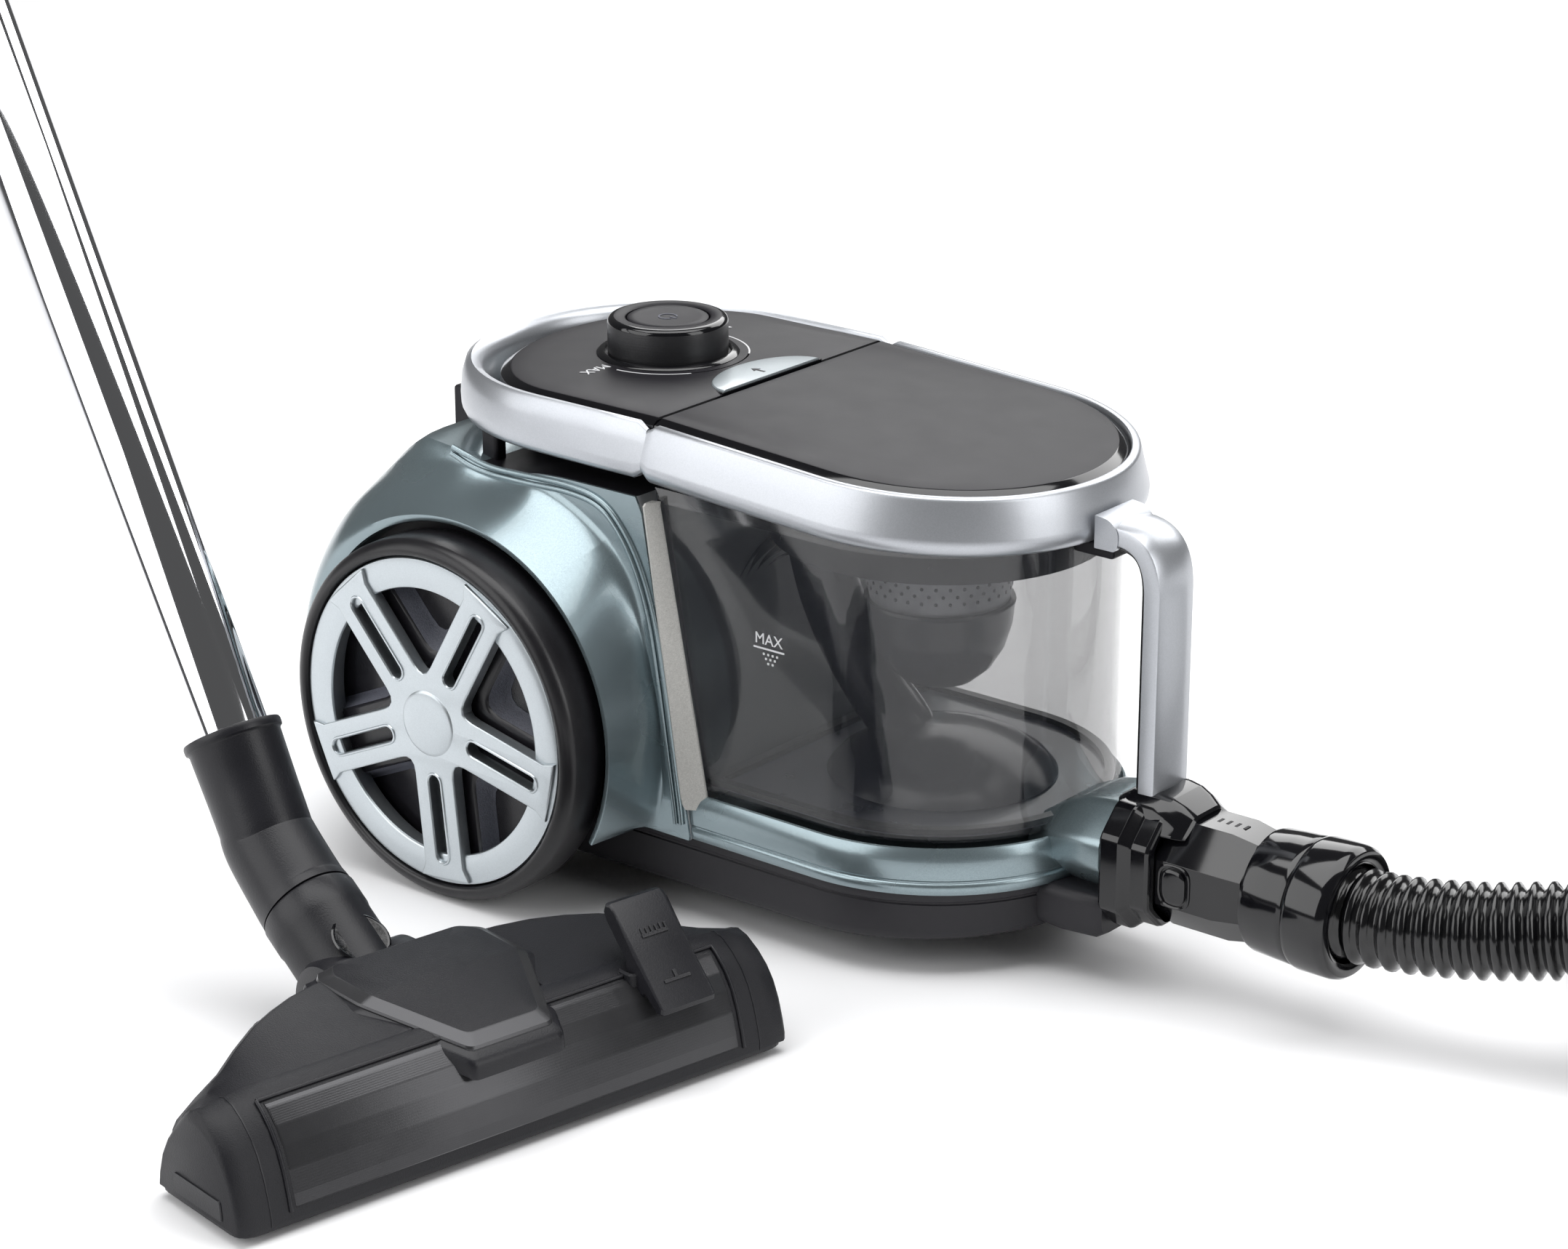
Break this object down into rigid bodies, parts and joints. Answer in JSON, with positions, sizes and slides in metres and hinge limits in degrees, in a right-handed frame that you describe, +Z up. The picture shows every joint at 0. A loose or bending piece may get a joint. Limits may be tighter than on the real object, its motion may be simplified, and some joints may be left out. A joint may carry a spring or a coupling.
{
  "type": "canister vacuum cleaner",
  "caption": "Bagless canister vacuum cleaner with clear dust cup, large side wheels, ribbed hose, telescopic chrome tube and floor nozzle.",
  "frame": {"origin": "centre of the bounding box of everything but the hose, on the floor", "axes": "+X towards the hose inlet at the front of the canister, +Y to its left, +Z up from the floor"},
  "size_m": [1.1985, 0.9589, 0.5816],
  "materials": {
    "charcoal": "fine grained",
    "housing_blue": "metallic lacquer",
    "champagne_trim": "speckled metallic",
    "tyre_rubber": "satin",
    "silver_lacquer": "silver lacquer",
    "wheel_disc_grey": "grained",
    "gloss_black": "high gloss",
    "satin_black": "satin",
    "button_blue": "silver blue lacquer",
    "smoke_clear": "smoke tinted clear plastic",
    "seal_rubber": "matt",
    "filter_mesh": "perforated",
    "hose_black": "gloss",
    "motor_steel": "plain",
    "foam_grey": "open cell foam",
    "nozzle_charcoal": "grained",
    "chrome_tube": "polished",
    "bristle": "bristle strip"
  },
  "bodies": {
    "base": {"lower_base": "charcoal", "caster_housing": "charcoal", "rear_housing": "housing_blue", "cradle_band": "housing_blue", "right_trim_strip": "champagne_trim", "left_trim_strip": "champagne_trim", "rear_deck": "satin_black", "rear_handle": "silver_lacquer", "control_panel": "satin_black", "inlet_collar": "housing_blue", "inlet_ring": "gloss_black", "motor": "motor_steel", "motor_filter": "foam_grey", "exhaust_filter": "foam_grey", "exhaust_grille": "satin_black", "cord_outlet": "satin_black"},
    "right_wheel": {"right_tyre": "tyre_rubber", "right_rim": "silver_lacquer", "right_wheel_disc": "wheel_disc_grey"},
    "left_wheel": {"left_tyre": "tyre_rubber", "left_rim": "silver_lacquer", "left_wheel_disc": "wheel_disc_grey"},
    "caster": {"caster_fork": "charcoal"},
    "caster_roller": {"caster_wheel": "tyre_rubber"},
    "knob": {"control_knob": "satin_black"},
    "power": {"power_button": "satin_black"},
    "release": {"bin_release_button": "button_blue"},
    "cup": {"dust_cup": "smoke_clear", "cup_handle": "silver_lacquer", "cup_gasket": "seal_rubber", "mesh_filter": "filter_mesh", "filter_skirt": "satin_black", "intake_duct": "satin_black"},
    "lid": {"lid_panel": "satin_black", "lid_ring": "silver_lacquer"},
    "latch": {"lid_latch": "silver_lacquer"},
    "hose": {"hose_connector": "gloss_black", "hose_tube": "hose_black", "hose_coil": "hose_black", "hose_tail": "hose_black", "hose_grip": "gloss_black"},
    "cuff": {"hose_cuff": "gloss_black"},
    "right_catch": {"right_connector_button": "gloss_black"},
    "left_catch": {"left_connector_button": "gloss_black"},
    "air_control": {"air_slider": "satin_black"},
    "fan": {"motor_fan": "motor_steel"},
    "reel": {"cord_reel": "satin_black"},
    "head": {"head_shell": "nozzle_charcoal", "head_front_strip": "nozzle_charcoal", "head_sole": "nozzle_charcoal", "head_cover": "nozzle_charcoal"},
    "pedal": {"brush_pedal": "nozzle_charcoal"},
    "brush": {"brush_strip": "bristle"},
    "right_roller": {"right_head_wheel": "tyre_rubber"},
    "left_roller": {"left_head_wheel": "tyre_rubber"},
    "elbow": {"neck_elbow": "nozzle_charcoal"},
    "tube": {"neck": "nozzle_charcoal", "lower_tube": "chrome_tube", "tube_collar": "satin_black"},
    "inner_tube": {"upper_tube": "chrome_tube"}
  },
  "joints": [
    {"name": "right_wheel_spin", "type": "hinge", "parent": "base", "child": "right_wheel", "pos_m": [-0.2613, 0.15108, 0.09], "axis": [0, 1, 0], "continuous": true},
    {"name": "left_wheel_spin", "type": "hinge", "parent": "base", "child": "left_wheel", "pos_m": [-0.2613, 0.15108, 0.09], "axis": [0, 1, 0], "continuous": true},
    {"name": "caster_swivel", "type": "hinge", "parent": "base", "child": "caster", "pos_m": [-0.0343, 0.15108, 0.036], "axis": [0, 0, 1], "continuous": true},
    {"name": "caster_spin", "type": "hinge", "parent": "caster", "child": "caster_roller", "pos_m": [-0.0433, 0.15108, 0.015], "axis": [0, 1, 0], "continuous": true},
    {"name": "knob_turn", "type": "hinge", "parent": "base", "child": "knob", "pos_m": [-0.2373, 0.15108, 0.25], "axis": [0, 0, 1], "range_deg": [-135, 135]},
    {"name": "power_press", "type": "slide", "parent": "knob", "child": "power", "axis": [0, 0, -1], "range_m": [0, 0.0025], "stiffness_N_per_m": 400},
    {"name": "release_press", "type": "slide", "parent": "base", "child": "release", "axis": [0, 0, -1], "range_m": [0, 0.002], "stiffness_N_per_m": 400},
    {"name": "cup_lift", "type": "slide", "parent": "base", "child": "cup", "axis": [0, 0, 1], "range_m": [0, 0.12]},
    {"name": "lid_open", "type": "hinge", "parent": "cup", "child": "lid", "pos_m": [-0.1713, 0.15108, 0.243], "axis": [0, -1, 0], "range_deg": [0, 70]},
    {"name": "latch_press", "type": "slide", "parent": "cup", "child": "latch", "axis": [0, 0, -1], "range_m": [0, 0.0025], "stiffness_N_per_m": 400},
    {"name": "hose_pull", "type": "slide", "parent": "base", "child": "hose", "axis": [1, 0, 0], "range_m": [0, 0.05]},
    {"name": "cuff_turn", "type": "hinge", "parent": "hose", "child": "cuff", "pos_m": [0.1377, 0.15108, 0.058], "axis": [1, 0, 0], "continuous": true},
    {"name": "right_catch_press", "type": "slide", "parent": "hose", "child": "right_catch", "axis": [0, 1, 0], "range_m": [0, 0.0015], "stiffness_N_per_m": 400},
    {"name": "left_catch_press", "type": "slide", "parent": "hose", "child": "left_catch", "axis": [0, -1, 0], "range_m": [0, 0.0015], "stiffness_N_per_m": 400},
    {"name": "air_slide", "type": "slide", "parent": "hose", "child": "air_control", "axis": [0.866, -0.5, 0], "range_m": [0, 0.015]},
    {"name": "fan_spin", "type": "hinge", "parent": "base", "child": "fan", "pos_m": [-0.1873, 0.15108, 0.122], "axis": [1, 0, 0], "continuous": true},
    {"name": "reel_spin", "type": "hinge", "parent": "base", "child": "reel", "pos_m": [-0.2923, 0.15108, 0.092], "axis": [0, 1, 0], "continuous": true},
    {"name": "head_push", "type": "slide", "parent": "base", "child": "head", "axis": [0.9808, -0.1951, 0], "range_m": [0, 0.15]},
    {"name": "pedal_rock", "type": "hinge", "parent": "head", "child": "pedal", "pos_m": [-0.0705, -0.15772, 0.042], "axis": [-0.1951, -0.9808, 0], "range_deg": [0, 12]},
    {"name": "brush_drop", "type": "slide", "parent": "head", "child": "brush", "axis": [0, 0, -1], "range_m": [0, 0.004]},
    {"name": "right_roller_spin", "type": "hinge", "parent": "head", "child": "right_roller", "pos_m": [-0.15975, -0.13997, 0.013], "axis": [0.1951, 0.9808, 0], "continuous": true},
    {"name": "left_roller_spin", "type": "hinge", "parent": "head", "child": "left_roller", "pos_m": [-0.15975, -0.13997, 0.013], "axis": [0.1951, 0.9808, 0], "continuous": true},
    {"name": "neck_tilt", "type": "hinge", "parent": "head", "child": "elbow", "pos_m": [-0.16367, -0.13919, 0.026], "axis": [0.1951, 0.9808, 0], "range_deg": [-12, 25]},
    {"name": "neck_turn", "type": "hinge", "parent": "elbow", "child": "tube", "pos_m": [-0.16367, -0.13919, 0.026], "axis": [-0.8371, 0.1665, 0.521], "range_deg": [-45, 45]},
    {"name": "tube_slide", "type": "slide", "parent": "tube", "child": "inner_tube", "axis": [-0.537, 0.1068, 0.8368], "range_m": [0, 0.28]}
  ],
  "couplings": [
    {"joint": "brush_drop", "follows": "pedal_rock", "m_per_rad": 0.019}
  ]
}
